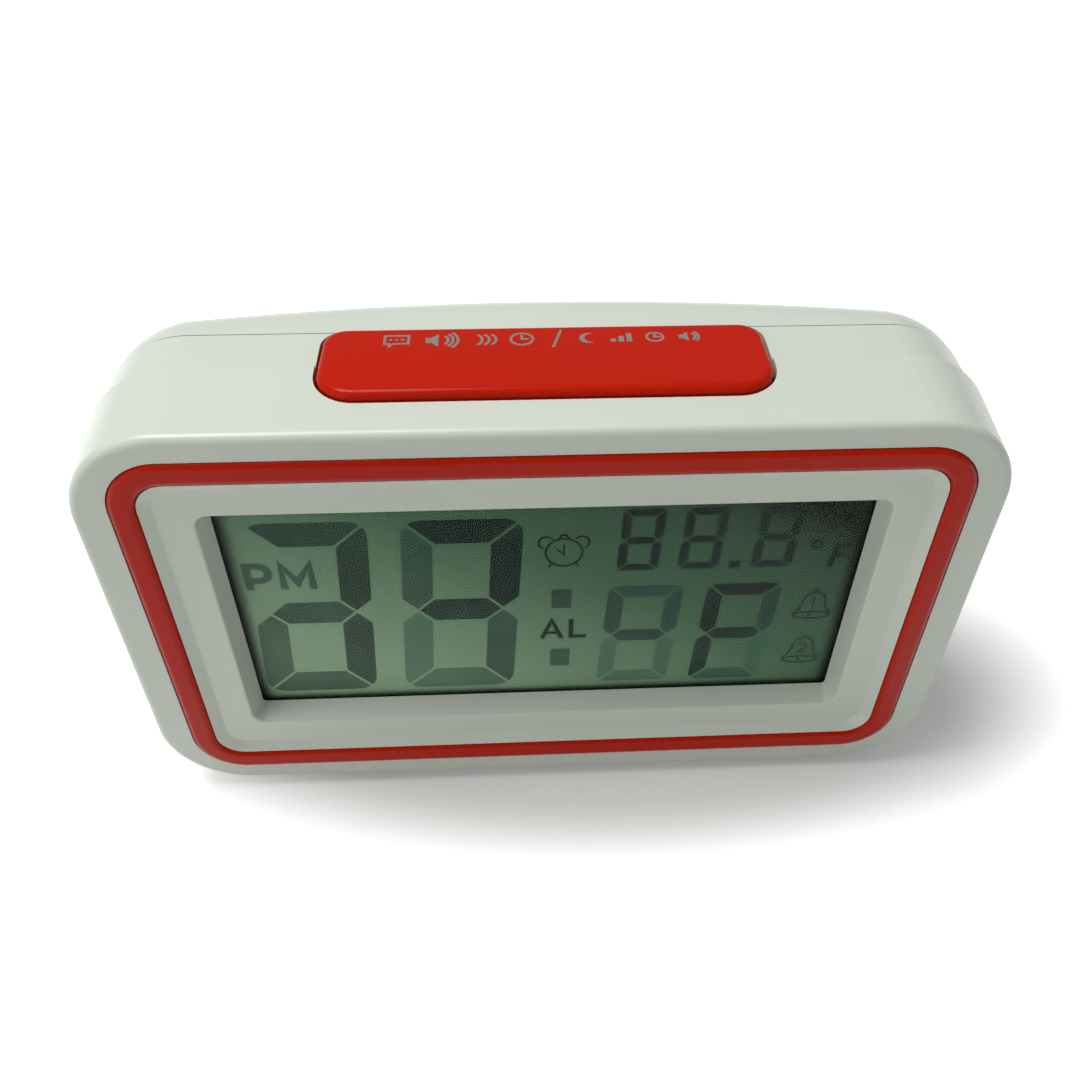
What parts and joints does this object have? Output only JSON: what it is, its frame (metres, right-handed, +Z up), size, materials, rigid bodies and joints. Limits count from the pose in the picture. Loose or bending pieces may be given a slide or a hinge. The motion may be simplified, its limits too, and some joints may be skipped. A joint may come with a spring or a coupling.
{
  "type": "talking alarm clock",
  "caption": "Table clock with a large liquid crystal display, a long speech button on top and a bowed back with keys, loudspeaker grille and battery door.",
  "frame": {"origin": "middle of the footprint, on the surface that the clock stands on", "axes": "+X to the viewer's right, +Y back from the display, +Z up"},
  "size_m": [0.1156, 0.037, 0.069],
  "materials": {
    "white_abs": "semi-gloss moulded ABS, white with a faint green tint",
    "red_abs": "glossy moulded ABS, signal red",
    "screw_steel": "zinc-plated steel",
    "foot_rubber": "matt black rubber",
    "clear_acrylic": "clear acrylic sheet",
    "lcd_film": "olive polarising film, satin",
    "lcd_glass": "thin display glass",
    "reflector_film": "matt silver film",
    "holder_white": "matt moulded ABS",
    "contact_rubber": "layered contact rubber",
    "circuit_board": "green solder mask on glass laminate",
    "black_resin": "black epoxy",
    "crystal_can": "bright tinned can",
    "capacitor_sleeve": "shrink sleeve",
    "resistor_ceramic": "fired ceramic",
    "spring_steel": "drawn spring wire",
    "switch_plastic": "black nylon",
    "stem_plastic": "natural nylon",
    "ribbon_jacket": "grey vinyl",
    "wire_jacket": "vinyl insulation",
    "cell_jacket": "printed steel can, plain",
    "contact_nickel": "nickel-plated spring steel",
    "speaker_steel": "pressed zinc-plated steel",
    "magnet_ferrite": "sintered ferrite",
    "speaker_film": "thin moulded film"
  },
  "bodies": {
    "clock": {"front_shell": "white_abs", "accent_ring": "red_abs", "middle_band": "white_abs", "rear_cover": "white_abs", "case_screws": "screw_steel", "rubber_feet": "foot_rubber", "display_window": "clear_acrylic", "lcd_front_film": "lcd_film", "lcd_front_glass": "lcd_glass", "lcd_rear_glass": "lcd_glass", "lcd_reflector": "reflector_film", "lcd_holder": "holder_white", "contact_strips": "contact_rubber", "main_board": "circuit_board", "main_board_screws": "screw_steel", "controller_blob": "black_resin", "speech_chip": "black_resin", "clock_crystal": "crystal_can", "capacitors": "capacitor_sleeve", "chip_resistors": "resistor_ceramic", "temperature_sensor": "black_resin", "button_springs": "spring_steel", "button_switch": "switch_plastic", "key_shelf": "circuit_board", "key_shelf_screws": "screw_steel", "key_shelf_wires": "wire_jacket", "key_board": "circuit_board", "key_board_screws": "screw_steel", "key_switches": "switch_plastic", "key_ribbon": "ribbon_jacket", "lower_cell": "cell_jacket", "upper_cell": "cell_jacket", "battery_contacts": "contact_nickel", "battery_springs": "contact_nickel", "battery_wires": "wire_jacket", "speaker_frame": "speaker_steel", "speaker_magnet": "magnet_ferrite", "speaker_cone": "speaker_film", "speaker_screws": "screw_steel", "speaker_wires": "wire_jacket"},
    "button": {"talk_button": "red_abs", "button_switch_stem": "stem_plastic"},
    "door": {"battery_door": "white_abs"},
    "alarm_key": {"alarm_key": "white_abs", "alarm_key_stem": "stem_plastic"},
    "mode_key": {"mode_key": "white_abs", "mode_key_stem": "stem_plastic"},
    "hour_key": {"hour_key": "white_abs", "hour_key_stem": "stem_plastic"},
    "minute_key": {"minute_key": "white_abs", "minute_key_stem": "stem_plastic"}
  },
  "joints": [
    {"name": "button_press", "type": "slide", "parent": "clock", "child": "button", "axis": [0, 0, -1], "range_m": [0, 0.0012], "stiffness_N_per_m": 600, "springref_m": -0.001, "deforming": ["button_springs"]},
    {"name": "door_swing", "type": "hinge", "parent": "clock", "child": "door", "pos_m": [-0.01703, 0.01748, 0.01497], "axis": [-1, 0, 0], "range_deg": [0, 80]},
    {"name": "alarm_key_press", "type": "slide", "parent": "clock", "child": "alarm_key", "axis": [0, -1, 0], "range_m": [0, 0.0008], "stiffness_N_per_m": 800, "springref_m": -0.0005},
    {"name": "mode_key_press", "type": "slide", "parent": "clock", "child": "mode_key", "axis": [0, -1, 0], "range_m": [0, 0.0008], "stiffness_N_per_m": 800, "springref_m": -0.0005},
    {"name": "hour_key_press", "type": "slide", "parent": "clock", "child": "hour_key", "axis": [0, -1, 0], "range_m": [0, 0.0008], "stiffness_N_per_m": 800, "springref_m": -0.0005},
    {"name": "minute_key_press", "type": "slide", "parent": "clock", "child": "minute_key", "axis": [0, -1, 0], "range_m": [0, 0.0008], "stiffness_N_per_m": 800, "springref_m": -0.0005}
  ]
}
